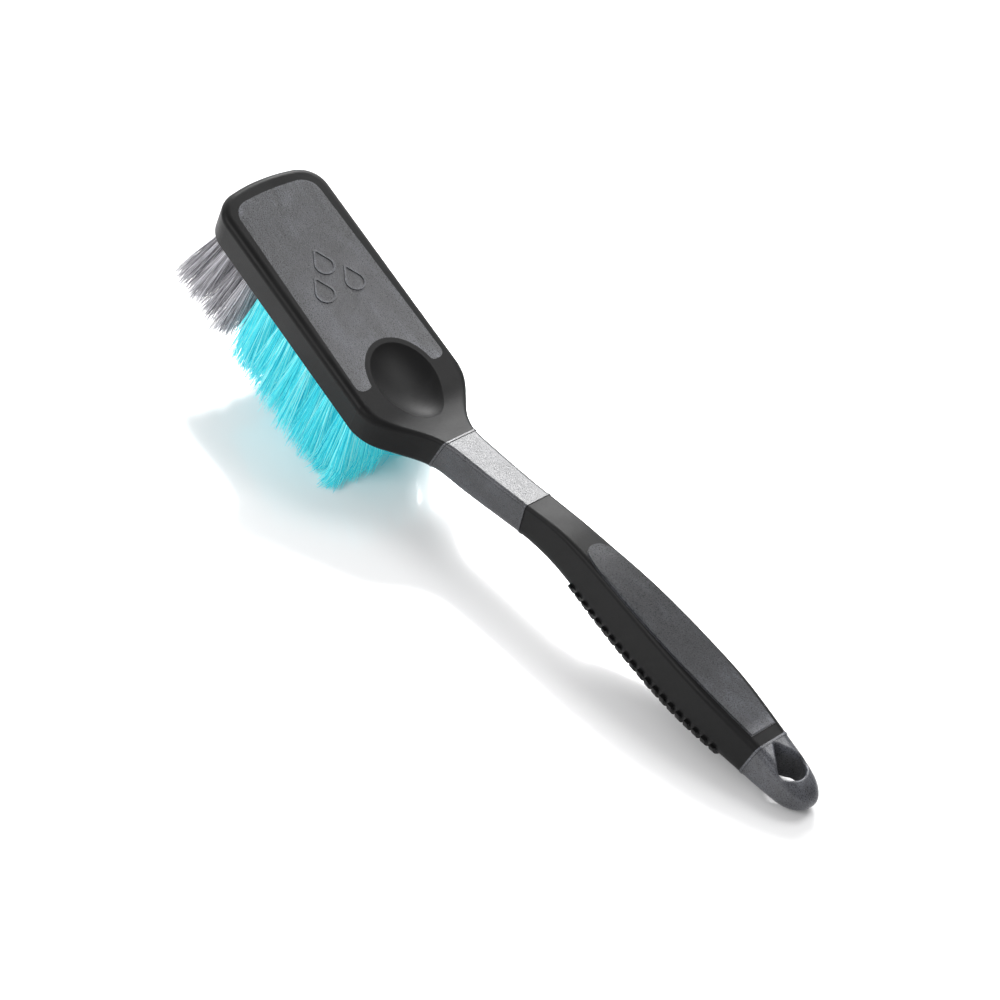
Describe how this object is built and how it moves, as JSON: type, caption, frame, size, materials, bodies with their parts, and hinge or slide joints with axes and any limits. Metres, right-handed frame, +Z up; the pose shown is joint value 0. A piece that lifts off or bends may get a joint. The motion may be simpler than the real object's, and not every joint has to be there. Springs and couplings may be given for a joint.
{
  "type": "wheel brush",
  "caption": "Long-handled wheel brush with an angled bristle head, soft thumb dish, ribbed grip and a teardrop hang hole.",
  "frame": {"origin": "floor level under the middle of the brush's bounding box, brush lying on the heel of its bristles and the tip of its tail", "axes": "+X from toe to tail, +Z up from the floor, Y across the head; the brush is symmetric about the plane y = 0"},
  "size_m": [0.3445, 0.048, 0.0873],
  "materials": {
    "hard_plastic": "fine grained grey polypropylene",
    "soft_rubber": "matte black thermoplastic elastomer",
    "grey_bristle": "soft flagged grey filament",
    "turquoise_bristle": "soft flagged turquoise filament",
    "anchor_wire": "flat drawn wire"
  },
  "bodies": {
    "root": {"handle_core": "hard_plastic", "head_jacket": "soft_rubber", "grip_sleeve": "soft_rubber", "bristle_row_grey_01": "grey_bristle", "bristle_row_grey_02": "grey_bristle", "bristle_row_grey_03": "grey_bristle", "bristle_row_grey_04": "grey_bristle", "bristle_row_turquoise_01": "turquoise_bristle", "bristle_row_turquoise_02": "turquoise_bristle", "bristle_row_turquoise_03": "turquoise_bristle", "bristle_row_turquoise_04": "turquoise_bristle", "bristle_row_turquoise_05": "turquoise_bristle", "bristle_row_turquoise_06": "turquoise_bristle", "bristle_row_turquoise_07": "turquoise_bristle", "bristle_row_turquoise_08": "turquoise_bristle", "bristle_row_turquoise_09": "turquoise_bristle", "bristle_row_turquoise_10": "turquoise_bristle", "anchor_wires_01": "anchor_wire", "anchor_wires_02": "anchor_wire", "anchor_wires_03": "anchor_wire", "anchor_wires_04": "anchor_wire", "anchor_wires_05": "anchor_wire", "anchor_wires_06": "anchor_wire", "anchor_wires_07": "anchor_wire", "anchor_wires_08": "anchor_wire", "anchor_wires_09": "anchor_wire", "anchor_wires_10": "anchor_wire", "anchor_wires_11": "anchor_wire", "anchor_wires_12": "anchor_wire", "anchor_wires_13": "anchor_wire", "anchor_wires_14": "anchor_wire"}
  },
  "joints": []
}
